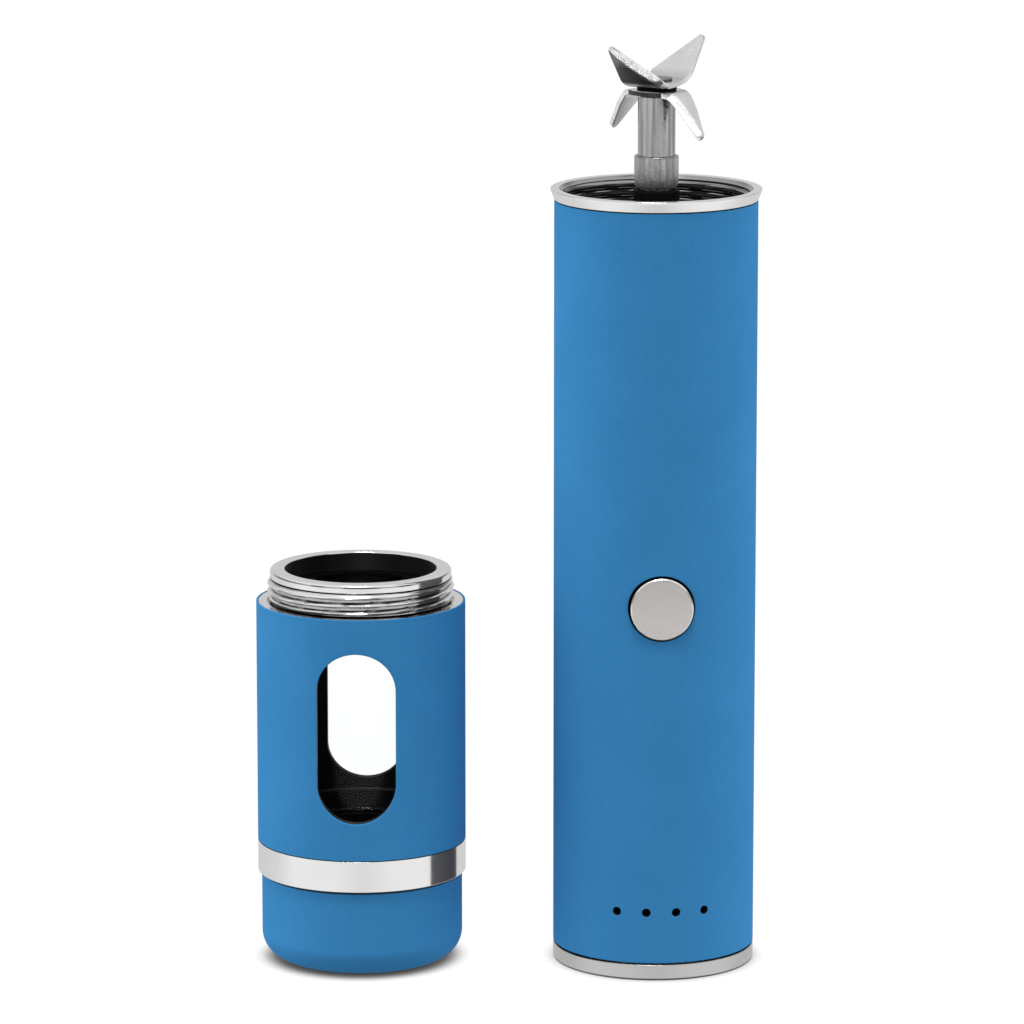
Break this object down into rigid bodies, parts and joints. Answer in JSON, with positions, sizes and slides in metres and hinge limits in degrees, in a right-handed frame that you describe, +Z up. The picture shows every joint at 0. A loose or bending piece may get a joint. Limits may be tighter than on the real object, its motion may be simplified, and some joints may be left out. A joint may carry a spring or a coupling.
{
  "type": "rechargeable herb grinder",
  "caption": "Tube-shaped cordless herb grinder: motor body with push button and exposed twin blades, and a windowed glass chamber with a threaded neck standing beside it.",
  "frame": {"origin": "centre of the motor body's flat underside, on the surface it stands on", "axes": "+Z up along the motor body's axis, -Y out of the push button, -X towards the glass chamber"},
  "size_m": [0.0948, 0.0427, 0.1746],
  "materials": {
    "soft_touch_blue": "soft-touch matt paint, fine grain",
    "bright_steel": "turned and polished",
    "blade_steel": "brushed, edges ground bright",
    "button_metal": "satin, chamfered bright rim",
    "clear_glass": "clear, polished",
    "black_rubber": "matt",
    "black_plastic": "moulded, matt",
    "bronze": "sintered, oiled",
    "motor_steel": "plated, satin",
    "ferrite": "dark sintered, matt",
    "copper": "bare and enamelled copper",
    "cell_wrap": "shrink wrap, gloss",
    "board_green": "glass-fibre board under solder mask",
    "smoked_clear": "smoked clear moulding",
    "red_wire": "wire insulation",
    "black_wire": "wire insulation",
    "grey_ribbon": "flat cable insulation"
  },
  "bodies": {
    "body": {"body_tube": "soft_touch_blue", "top_ring": "bright_steel", "base_cap": "bright_steel", "usb_socket": "bright_steel", "shaft_seal": "black_rubber", "chamber_deck": "black_plastic", "motor_mount": "black_plastic", "motor_end_bell": "black_plastic", "cell_holder": "black_plastic", "tact_switch": "black_plastic", "usb_tongue": "black_plastic", "spindle_bush": "bronze", "motor_bearing": "bronze", "motor_can": "motor_steel", "motor_screw_1": "motor_steel", "motor_screw_2": "motor_steel", "cell_tab_top": "motor_steel", "cell_tab_bottom": "motor_steel", "magnet_left": "ferrite", "magnet_right": "ferrite", "brush_left": "ferrite", "brush_right": "ferrite", "motor_terminal_left": "copper", "motor_terminal_right": "copper", "battery_cell": "cell_wrap", "charge_board": "board_green", "switch_board": "board_green", "charge_led_1": "smoked_clear", "charge_led_2": "smoked_clear", "charge_led_3": "smoked_clear", "charge_led_4": "smoked_clear", "led_diffuser": "smoked_clear", "motor_wire_positive": "red_wire", "cell_wire_positive": "red_wire", "motor_wire_negative": "black_wire", "cell_wire_negative": "black_wire", "ribbon_cable": "grey_ribbon"},
    "button": {"button_cap": "button_metal", "switch_plunger": "black_plastic"},
    "cutter": {"spindle": "bright_steel", "spindle_collar": "bright_steel", "upper_blade": "blade_steel", "lower_blade": "blade_steel", "blade_spacer": "black_rubber", "blade_rivet": "blade_steel", "grub_screw": "motor_steel", "motor_shaft": "motor_steel", "armature": "motor_steel", "winding_top": "copper", "winding_bottom": "copper", "commutator": "copper"},
    "chamber": {"chamber_sleeve": "soft_touch_blue", "neck_ring": "bright_steel", "glass_liner": "clear_glass", "upper_gasket": "black_rubber", "lower_gasket": "black_rubber", "connector_band": "bright_steel"},
    "cap_seal": {"cap_gasket": "black_rubber"},
    "cap": {"end_cap": "soft_touch_blue"}
  },
  "joints": [
    {"name": "button_press", "type": "slide", "parent": "body", "child": "button", "axis": [0, 1, 0], "range_m": [0, 0.0005], "stiffness_N_per_m": 2000},
    {"name": "blade_spin", "type": "hinge", "parent": "body", "child": "cutter", "pos_m": [0, 0, 0.1666], "axis": [0, 0, 1], "continuous": true},
    {"name": "chamber_lift", "type": "slide", "parent": "body", "child": "chamber", "axis": [0, 0, 1], "range_m": [0, 0.18]},
    {"name": "cap_travel", "type": "slide", "parent": "chamber", "child": "cap_seal", "axis": [0, 0, -1], "range_m": [0, 0.00405]},
    {"name": "cap_turn", "type": "hinge", "parent": "cap_seal", "child": "cap", "pos_m": [-0.05525, 0.003, 0.01635], "axis": [0, 0, -1], "range_deg": [0, 1080]}
  ],
  "couplings": [
    {"joint": "cap_travel", "follows": "cap_turn", "m_per_rad": 0.00021486}
  ]
}
